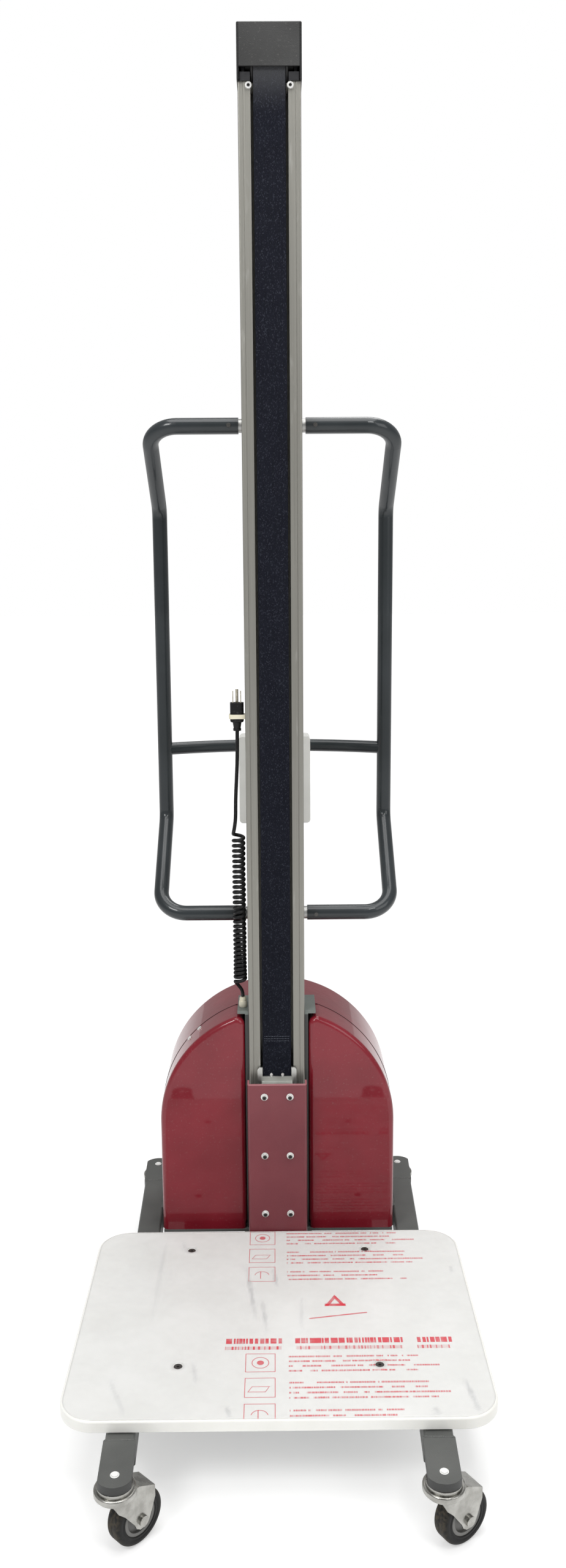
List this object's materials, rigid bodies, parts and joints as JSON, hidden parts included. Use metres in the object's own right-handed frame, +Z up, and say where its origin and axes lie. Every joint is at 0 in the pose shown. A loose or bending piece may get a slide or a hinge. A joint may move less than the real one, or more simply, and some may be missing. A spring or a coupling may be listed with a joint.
{
  "type": "mini stacker",
  "caption": "Light electric straddle stacker: a strap mast lifts a flat white platform, with push handle loops, arched covers and swivel casters.",
  "frame": {"origin": "middle of the footprint, on the floor", "axes": "+Z up, -Y towards the platform, +X to the right seen from the platform side"},
  "size_m": [0.6, 0.9298, 2.032],
  "materials": {
    "leg_paint": "fine textured dark grey powder coat",
    "holder_paint": "satin grey paint",
    "mast_aluminium": "satin warm grey anodised",
    "black_plastic": "fine grained black",
    "bare_steel": "plain steel",
    "clamp_zinc": "matt zinc plated sheet",
    "screw_zinc": "bright zinc",
    "pulley_nylon": "natural nylon",
    "strap_webbing": "woven dark navy webbing",
    "motor_casting": "cast housing",
    "box_aluminium": "folded sheet",
    "crimson_plastic": "glossy crimson moulding",
    "crimson_paint": "satin crimson paint",
    "handle_paint": "gloss slate grey paint",
    "light_grey_plastic": "light grey box",
    "green_button": "green",
    "white_button": "white",
    "red_button": "red",
    "ivory_nylon": "ivory nylon",
    "cord_rubber": "black rubber",
    "prong_brass": "plated brass",
    "board_white": "white polyethylene board",
    "clear_film": "thin clear protective film with red print",
    "fork_zinc": "zinc plated pressed steel",
    "rim_grey": "grey moulded rim",
    "tyre_rubber": "black rubber",
    "pedal_paint": "black pedal"
  },
  "bodies": {
    "frame": {"right_leg": "leg_paint", "left_leg": "leg_paint", "cross_beams": "leg_paint", "base_plate": "leg_paint", "mast": "mast_aluminium", "mast_holder": "holder_paint", "top_cover": "black_plastic", "pulley_bracket": "bare_steel", "pulley_axle": "bare_steel", "strap_front_run": "strap_webbing", "strap_back_run": "strap_webbing", "drum_brackets": "bare_steel", "gear_motor": "motor_casting", "batteries": "black_plastic", "power_units": "box_aluminium", "front_cover_right": "crimson_plastic", "front_cover_left": "crimson_plastic", "rear_cover": "crimson_plastic", "right_handle": "handle_paint", "left_handle": "handle_paint", "handle_spigots": "bare_steel", "handle_crossbar": "handle_paint", "frame_screws": "screw_zinc", "control_box": "light_grey_plastic", "cord_gland": "ivory_nylon", "cord_tail": "cord_rubber", "cord_curl": "cord_rubber", "cord_lead": "cord_rubber", "plug_body": "cord_rubber", "plug_prongs": "prong_brass", "plug_clip": "ivory_nylon", "caster_tops": "fork_zinc"},
    "carriage": {"carriage_frame": "bare_steel", "carriage_cover": "crimson_paint", "carriage_screws": "screw_zinc", "strap_clamp": "clamp_zinc", "platform_tray": "leg_paint", "platform_board": "board_white", "platform_film": "clear_film"},
    "strap_drum": {"strap_drum": "bare_steel"},
    "top_pulley": {"top_pulley": "pulley_nylon"},
    "upper_rollers": {"upper_rollers": "pulley_nylon"},
    "lower_rollers": {"lower_rollers": "pulley_nylon"},
    "up_button": {"up_button": "green_button"},
    "down_button": {"down_button": "white_button"},
    "stop_button": {"stop_button": "red_button"},
    "front_left_swivel": {"front_left_fork": "fork_zinc"},
    "front_left_wheel": {"front_left_rim": "rim_grey", "front_left_tyre": "tyre_rubber"},
    "front_right_swivel": {"front_right_fork": "fork_zinc"},
    "front_right_wheel": {"front_right_rim": "rim_grey", "front_right_tyre": "tyre_rubber"},
    "rear_left_swivel": {"rear_left_fork": "fork_zinc"},
    "rear_left_wheel": {"rear_left_rim": "rim_grey", "rear_left_tyre": "tyre_rubber"},
    "rear_left_pedal": {"rear_left_pedal": "pedal_paint"},
    "rear_right_swivel": {"rear_right_fork": "fork_zinc"},
    "rear_right_wheel": {"rear_right_rim": "rim_grey", "rear_right_tyre": "tyre_rubber"},
    "rear_right_pedal": {"rear_right_pedal": "pedal_paint"}
  },
  "joints": [
    {"name": "lift", "type": "slide", "parent": "frame", "child": "carriage", "axis": [0, 0, 1], "range_m": [0, 1.5], "deforming": ["strap_front_run"]},
    {"name": "top_pulley_turn", "type": "hinge", "parent": "frame", "child": "top_pulley", "pos_m": [0, 0.17094, 1.985], "axis": [-1, 0, 0], "range_deg": [0, 2600]},
    {"name": "strap_drum_turn", "type": "hinge", "parent": "frame", "child": "strap_drum", "pos_m": [0, 0.23534, 0.23], "axis": [1, 0, 0], "range_deg": [0, 2760]},
    {"name": "upper_rollers_turn", "type": "hinge", "parent": "carriage", "child": "upper_rollers", "pos_m": [0, 0.16544, 0.35], "axis": [1, 0, 0], "range_deg": [0, 3920]},
    {"name": "lower_rollers_turn", "type": "hinge", "parent": "carriage", "child": "lower_rollers", "pos_m": [0, 0.16544, 0.15], "axis": [-1, 0, 0], "range_deg": [0, 3920]},
    {"name": "front_left_swivel", "type": "hinge", "parent": "frame", "child": "front_left_swivel", "pos_m": [-0.21015, -0.43686, 0.09], "axis": [0, 0, 1], "continuous": true},
    {"name": "front_left_wheel", "type": "hinge", "parent": "front_left_swivel", "child": "front_left_wheel", "pos_m": [-0.18931, -0.41528, 0.0375], "axis": [-0.7193, 0.6947, 0], "continuous": true},
    {"name": "front_right_swivel", "type": "hinge", "parent": "frame", "child": "front_right_swivel", "pos_m": [0.21015, -0.43686, 0.09], "axis": [0, 0, 1], "continuous": true},
    {"name": "front_right_wheel", "type": "hinge", "parent": "front_right_swivel", "child": "front_right_wheel", "pos_m": [0.23502, -0.42008, 0.0375], "axis": [-0.5592, 0.829, 0], "continuous": true},
    {"name": "rear_left_swivel", "type": "hinge", "parent": "frame", "child": "rear_left_swivel", "pos_m": [-0.23167, 0.38486, 0.09], "axis": [0, 0, 1], "continuous": true},
    {"name": "rear_left_wheel", "type": "hinge", "parent": "rear_left_swivel", "child": "rear_left_wheel", "pos_m": [-0.23167, 0.41486, 0.0375], "axis": [-1, 0, 0], "continuous": true},
    {"name": "rear_left_pedal", "type": "hinge", "parent": "rear_left_swivel", "child": "rear_left_pedal", "pos_m": [-0.23167, 0.42686, 0.062], "axis": [-1, 0, 0], "range_deg": [0, 12]},
    {"name": "rear_right_swivel", "type": "hinge", "parent": "frame", "child": "rear_right_swivel", "pos_m": [0.23167, 0.38486, 0.09], "axis": [0, 0, 1], "continuous": true},
    {"name": "rear_right_wheel", "type": "hinge", "parent": "rear_right_swivel", "child": "rear_right_wheel", "pos_m": [0.23167, 0.41486, 0.0375], "axis": [-1, 0, 0], "continuous": true},
    {"name": "rear_right_pedal", "type": "hinge", "parent": "rear_right_swivel", "child": "rear_right_pedal", "pos_m": [0.23167, 0.42686, 0.062], "axis": [-1, 0, 0], "range_deg": [0, 12]},
    {"name": "up_button_push", "type": "slide", "parent": "frame", "child": "up_button", "axis": [0, -1, 0], "range_m": [0, 0.003], "stiffness_N_per_m": 600, "springref_m": -0.002},
    {"name": "down_button_push", "type": "slide", "parent": "frame", "child": "down_button", "axis": [0, -1, 0], "range_m": [0, 0.003], "stiffness_N_per_m": 600, "springref_m": -0.002},
    {"name": "stop_button_push", "type": "slide", "parent": "frame", "child": "stop_button", "axis": [0, -1, 0], "range_m": [0, 0.003]}
  ],
  "couplings": [
    {"joint": "top_pulley_turn", "follows": "lift", "rad_per_m": 30.12},
    {"joint": "strap_drum_turn", "follows": "lift", "rad_per_m": 32.051},
    {"joint": "upper_rollers_turn", "follows": "lift", "rad_per_m": 45.455},
    {"joint": "lower_rollers_turn", "follows": "lift", "rad_per_m": 45.455}
  ]
}
